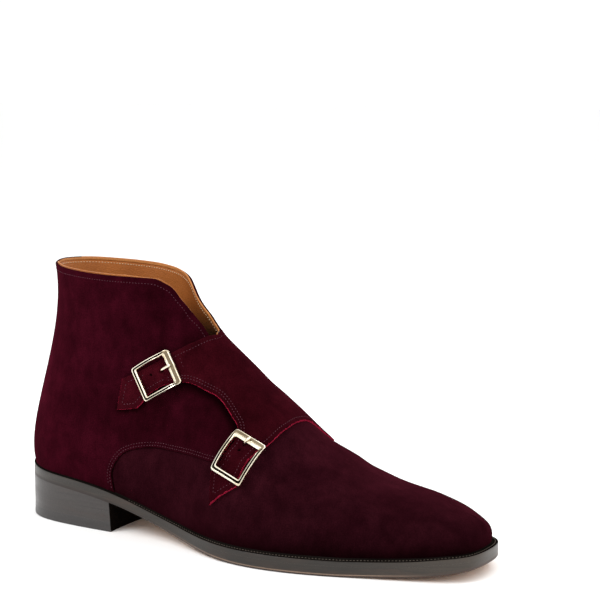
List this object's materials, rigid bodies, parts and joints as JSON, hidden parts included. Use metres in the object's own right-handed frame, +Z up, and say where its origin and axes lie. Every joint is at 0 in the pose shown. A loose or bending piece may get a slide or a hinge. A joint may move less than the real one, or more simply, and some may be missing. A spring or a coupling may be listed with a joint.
{
  "type": "double buckle ankle boot",
  "caption": "Low-heeled ankle boot with a hollow upper, a side strap flap with buckles on the outer side, an insole, a welt and a stacked heel",
  "frame": {"origin": "middle of the bounding box's bottom, on the floor under the sole", "axes": "+X to the toe, +Y to the inner side of the foot, +Z up"},
  "size_m": [0.305, 0.105, 0.157],
  "materials": {
    "suede": "matt napped suede",
    "lining_leather": "smooth tan leather",
    "welt_leather": "stained and waxed",
    "sole_leather": "semi-gloss waxed edge",
    "heel_leather": "semi-gloss waxed edge",
    "heel_rubber": "satin",
    "buckle_metal": "polished pale gold"
  },
  "bodies": {
    "root": {"upper": "suede", "strap_flap": "suede", "upper_buckle_frame": "buckle_metal", "lower_buckle_frame": "buckle_metal", "upper_buckle_prong": "buckle_metal", "lower_buckle_prong": "buckle_metal", "insole": "lining_leather", "welt": "welt_leather", "outsole": "sole_leather", "heel_seat_lift": "heel_leather", "heel_middle_lift": "heel_leather", "heel_top_lift": "heel_rubber"}
  },
  "joints": []
}
